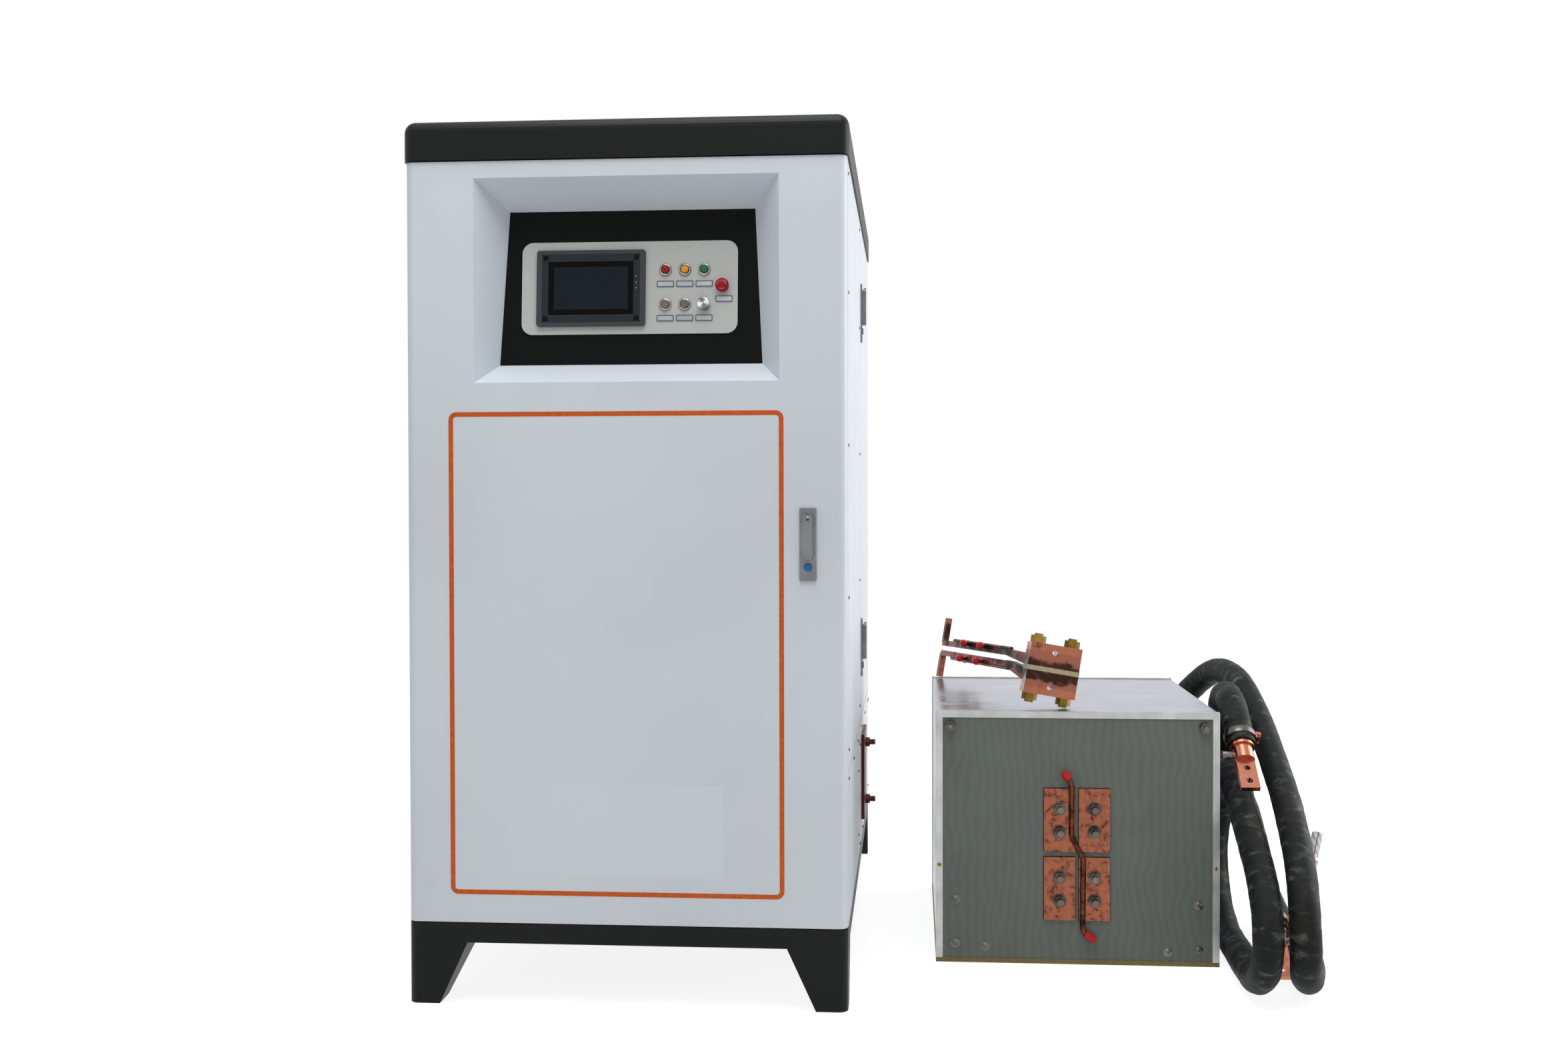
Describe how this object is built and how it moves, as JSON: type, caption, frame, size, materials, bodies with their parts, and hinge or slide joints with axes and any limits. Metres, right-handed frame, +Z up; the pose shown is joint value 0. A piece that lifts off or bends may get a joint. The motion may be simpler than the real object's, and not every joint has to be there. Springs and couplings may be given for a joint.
{
  "type": "induction heating machine",
  "caption": "Upright power cabinet with a recessed console, a separate water-cooled heating station with copper output blocks, heavy cables and a clamped copper inductor.",
  "frame": {"origin": "on the floor, at the middle of the cabinet and station together", "axes": "+Z up, +X from the cabinet to the station, -Y towards the operator"},
  "size_m": [1.9423, 1.5218, 1.8],
  "materials": {
    "white_powder_coat": "light textured powder coat",
    "black_powder_coat": "satin black powder coat",
    "control_plate": "light grey printed plate",
    "grey_abs": "moulded ABS",
    "screen_glass": "dark glass over the display",
    "nickel_plated": "nickel-plated steel",
    "knob_aluminium": "turned aluminium",
    "red_plastic": "red moulded plastic",
    "blue_plastic": "blue moulded plastic",
    "zinc_steel": "zinc-plated steel",
    "station_steel": "stainless sheet",
    "station_aluminium": "aluminium angle",
    "moulded_casing": "moulded casing",
    "capacitor_case": "drawn aluminium can",
    "bare_copper": "bare copper",
    "bright_brass": "machined brass",
    "red_laminate": "dark red insulating laminate",
    "green_laminate": "woven glass laminate",
    "yellow_laminate": "woven glass laminate",
    "core_iron": "stacked iron-powder core",
    "hose_rubber": "cloth-wrapped black rubber hose",
    "clear_pvc": "clear PVC hose"
  },
  "bodies": {
    "machine": {"plinth": "black_powder_coat", "frame": "black_powder_coat", "top_cap": "black_powder_coat", "right_front_panel": "white_powder_coat", "right_lower_panel": "white_powder_coat", "left_panel": "white_powder_coat", "rear_panel": "white_powder_coat", "hinge_pins": "zinc_steel", "main_contactor": "moulded_casing", "dc_capacitors": "capacitor_case", "power_modules": "capacitor_case", "control_rack": "moulded_casing", "busbars": "bare_copper", "water_manifold": "bright_brass", "terminal_board": "red_laminate", "station_base": "yellow_laminate", "station_front_board": "green_laminate", "station_rear_board": "green_laminate", "station_cover": "station_steel", "station_trim": "station_aluminium", "station_fasteners": "zinc_steel", "output_blocks": "bare_copper", "jumper_tube": "bare_copper", "transformer_core": "core_iron", "primary_winding": "bare_copper", "tank_capacitors": "capacitor_case", "rear_terminals": "bare_copper", "cable_a": "hose_rubber", "cable_b": "hose_rubber", "cable_ends": "bare_copper", "pvc_hose": "clear_pvc"},
    "front_door": {"front_door": "white_powder_coat", "console_panel": "black_powder_coat", "console_plate": "control_plate", "hmi_bezel": "grey_abs", "hmi_screen": "screen_glass", "control_fittings": "nickel_plated", "front_lock_plate": "nickel_plated"},
    "right_rear_door": {"right_rear_door": "white_powder_coat", "side_lock_plates": "nickel_plated"},
    "inductor": {"inductor_upper": "bare_copper", "inductor_lower": "bare_copper", "clamp_plates": "bare_copper", "insulating_sheet": "yellow_laminate", "brass_bolts": "bright_brass", "inductor_caps": "red_plastic"},
    "stop_button": {"stop_button": "nickel_plated"},
    "start_button": {"start_button": "nickel_plated"},
    "power_knob": {"power_knob": "knob_aluminium"},
    "estop_stem": {"estop_stem": "nickel_plated"},
    "estop_head": {"estop_head": "red_plastic"},
    "front_lock_spindle": {"front_lock_spindle": "nickel_plated"},
    "front_lock_handle": {"front_lock_handle": "nickel_plated"},
    "front_lock_button": {"front_lock_button": "blue_plastic"},
    "upper_lock_spindle": {"upper_lock_spindle": "nickel_plated"},
    "upper_lock_handle": {"upper_lock_handle": "nickel_plated"},
    "upper_lock_button": {"upper_lock_button": "blue_plastic"},
    "lower_lock_spindle": {"lower_lock_spindle": "nickel_plated"},
    "lower_lock_handle": {"lower_lock_handle": "nickel_plated"},
    "lower_lock_button": {"lower_lock_button": "blue_plastic"}
  },
  "joints": [
    {"name": "front_door_hinge", "type": "hinge", "parent": "machine", "child": "front_door", "pos_m": [-0.838, -0.736, 0.94], "axis": [0, 0, -1], "range_deg": [0, 110]},
    {"name": "right_rear_door_hinge", "type": "hinge", "parent": "machine", "child": "right_rear_door", "pos_m": [0.036, 0.699, 1.1], "axis": [0, 0, 1], "range_deg": [0, 15]},
    {"name": "stop_button_press", "type": "slide", "parent": "front_door", "child": "stop_button", "axis": [0, 0.9969, -0.0785], "range_m": [0, 0.0025], "stiffness_N_per_m": 400, "springref_m": -0.001},
    {"name": "start_button_press", "type": "slide", "parent": "front_door", "child": "start_button", "axis": [0, 0.9969, -0.0785], "range_m": [0, 0.0025], "stiffness_N_per_m": 400, "springref_m": -0.001},
    {"name": "power_knob_turn", "type": "hinge", "parent": "front_door", "child": "power_knob", "pos_m": [-0.2455, -0.68035, 1.42962], "axis": [0, -0.9969, 0.0785], "range_deg": [-125, 175]},
    {"name": "estop_press", "type": "slide", "parent": "front_door", "child": "estop_stem", "axis": [0, 0.9969, -0.0785], "range_m": [0, 0.004], "stiffness_N_per_m": 600, "springref_m": -0.001},
    {"name": "estop_twist", "type": "hinge", "parent": "estop_stem", "child": "estop_head", "pos_m": [-0.2075, -0.67745, 1.46651], "axis": [0, 0.9969, -0.0785], "range_deg": [0, 45], "stiffness_Nm_per_rad": 0.05, "springref_deg": -5.73},
    {"name": "front_lock_turn", "type": "hinge", "parent": "front_door", "child": "front_lock_spindle", "pos_m": [-0.029, -0.75, 0.993], "axis": [0, -1, 0], "range_deg": [0, 90]},
    {"name": "front_lock_handle_tilt", "type": "hinge", "parent": "front_lock_spindle", "child": "front_lock_handle", "pos_m": [-0.029, -0.759, 0.993], "axis": [-1, 0, 0], "range_deg": [0, 25]},
    {"name": "front_lock_release", "type": "slide", "parent": "front_door", "child": "front_lock_button", "axis": [0, 1, 0], "range_m": [0, 0.0025], "stiffness_N_per_m": 400, "springref_m": -0.001},
    {"name": "upper_lock_turn", "type": "hinge", "parent": "right_rear_door", "child": "upper_lock_spindle", "pos_m": [0.05, 0.11, 1.551], "axis": [-1, 0, 0], "range_deg": [0, 90]},
    {"name": "upper_lock_handle_tilt", "type": "hinge", "parent": "upper_lock_spindle", "child": "upper_lock_handle", "pos_m": [0.059, 0.11, 1.551], "axis": [0, -1, 0], "range_deg": [0, 25]},
    {"name": "upper_lock_release", "type": "slide", "parent": "right_rear_door", "child": "upper_lock_button", "axis": [-1, 0, 0], "range_m": [0, 0.0025], "stiffness_N_per_m": 400, "springref_m": -0.001},
    {"name": "lower_lock_turn", "type": "hinge", "parent": "right_rear_door", "child": "lower_lock_spindle", "pos_m": [0.05, 0.11, 0.708], "axis": [-1, 0, 0], "range_deg": [0, 90]},
    {"name": "lower_lock_handle_tilt", "type": "hinge", "parent": "lower_lock_spindle", "child": "lower_lock_handle", "pos_m": [0.059, 0.11, 0.708], "axis": [0, -1, 0], "range_deg": [0, 25]},
    {"name": "lower_lock_release", "type": "slide", "parent": "right_rear_door", "child": "lower_lock_button", "axis": [-1, 0, 0], "range_m": [0, 0.0025], "stiffness_N_per_m": 400, "springref_m": -0.001},
    {"name": "inductor_lift", "type": "slide", "parent": "machine", "child": "inductor", "axis": [0, 0, 1], "range_m": [0, 0.3]}
  ]
}
